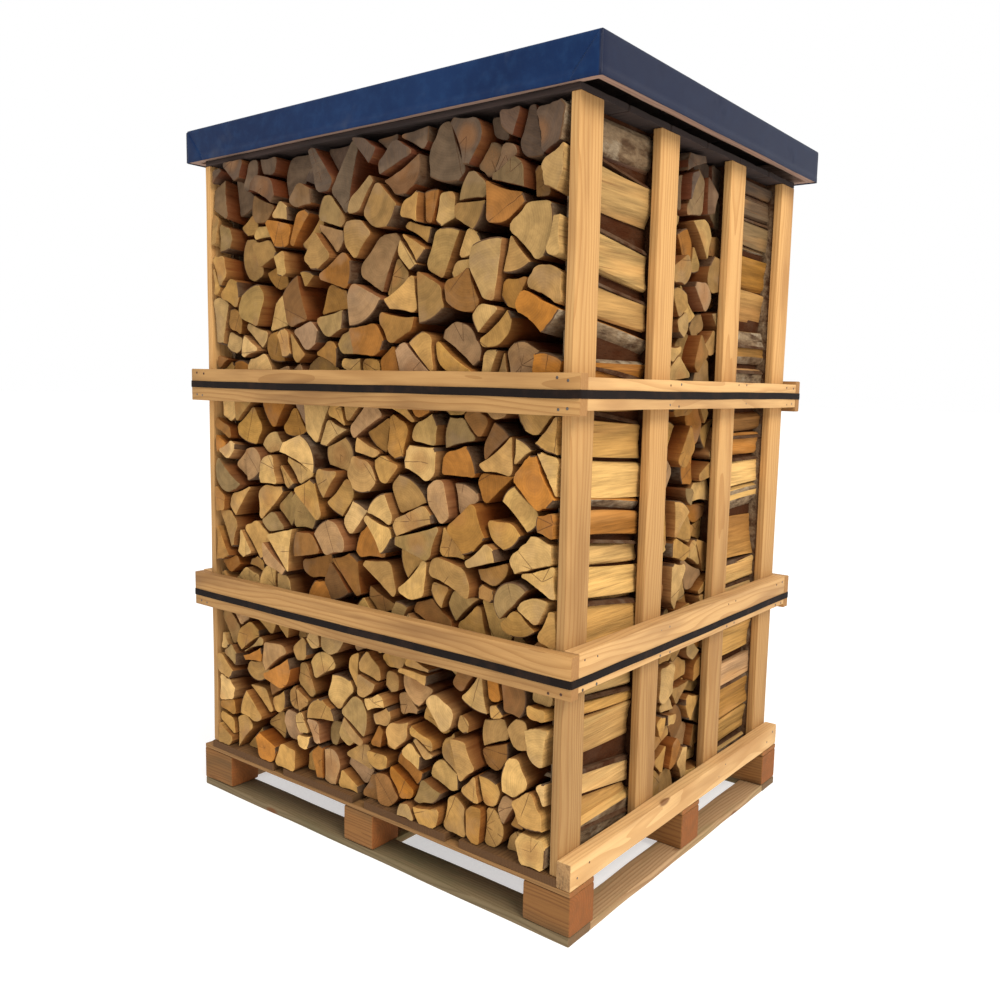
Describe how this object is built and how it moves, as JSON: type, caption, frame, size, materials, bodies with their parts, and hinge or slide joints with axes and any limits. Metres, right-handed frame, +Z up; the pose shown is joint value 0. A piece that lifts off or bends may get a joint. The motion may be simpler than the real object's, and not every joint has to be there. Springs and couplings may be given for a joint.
{
  "type": "firewood crate",
  "caption": "Split firewood stacked in a tall tiered crate of posts and rails on a block pallet, strapped at each tier and capped by a lid wrapped in a tarp, for moving by forklift.",
  "frame": {"origin": "centre of the footprint on the floor, under the pallet", "axes": "+Z is up; +X is to the right seen from the front, across the row of log ends; +Y runs from the open front to the back, along the logs of the front row"},
  "size_m": [1.24, 1.0856, 1.727],
  "materials": {
    "pallet_wood": "rough sawn softwood, weathered",
    "post_wood": "fresh sawn pine",
    "rail_wood": "sawn pine, dull",
    "lid_wood": "grey sawn boards in shade",
    "log_wood": "split hardwood with bark on some pieces",
    "strap": "woven strapping",
    "tarp": "coated woven sheet, slight sheen"
  },
  "bodies": {
    "root": {"block_front_left": "pallet_wood", "block_front_centre": "pallet_wood", "block_front_right": "pallet_wood", "block_middle_left": "pallet_wood", "block_middle_centre": "pallet_wood", "block_middle_right": "pallet_wood", "block_back_left": "pallet_wood", "block_back_centre": "pallet_wood", "block_back_right": "pallet_wood", "base_board_front": "pallet_wood", "base_board_back": "pallet_wood", "base_board_left": "pallet_wood", "base_board_right": "pallet_wood", "base_board_middle": "pallet_wood", "stringer_front": "pallet_wood", "stringer_middle": "pallet_wood", "stringer_back": "pallet_wood", "deck_board_1": "pallet_wood", "deck_board_2": "pallet_wood", "deck_board_3": "pallet_wood", "deck_board_4": "pallet_wood", "side_beam_right": "post_wood", "side_beam_left": "post_wood", "post_left_1": "post_wood", "post_left_2": "post_wood", "post_left_3": "post_wood", "post_left_4": "post_wood", "post_right_1": "post_wood", "post_right_2": "post_wood", "post_right_3": "post_wood", "post_right_4": "post_wood", "rail_tier1_top_front": "rail_wood", "rail_tier1_top_back": "rail_wood", "rail_tier1_top_left": "rail_wood", "rail_tier1_top_right": "rail_wood", "rail_tier2_bottom_front": "rail_wood", "rail_tier2_bottom_back": "rail_wood", "rail_tier2_bottom_left": "rail_wood", "rail_tier2_bottom_right": "rail_wood", "rail_tier2_top_front": "rail_wood", "rail_tier2_top_back": "rail_wood", "rail_tier2_top_left": "rail_wood", "rail_tier2_top_right": "rail_wood", "rail_tier3_bottom_front": "rail_wood", "rail_tier3_bottom_back": "rail_wood", "rail_tier3_bottom_left": "rail_wood", "rail_tier3_bottom_right": "rail_wood", "strap_lower": "strap", "strap_upper": "strap", "lid_core": "lid_wood", "tarp_cover": "tarp", "logs_front_1": "log_wood", "logs_middle_1": "log_wood", "logs_back_1": "log_wood", "logs_front_2": "log_wood", "logs_middle_2": "log_wood", "logs_back_2": "log_wood", "logs_front_3": "log_wood", "logs_middle_3": "log_wood", "logs_back_3": "log_wood"}
  },
  "joints": []
}
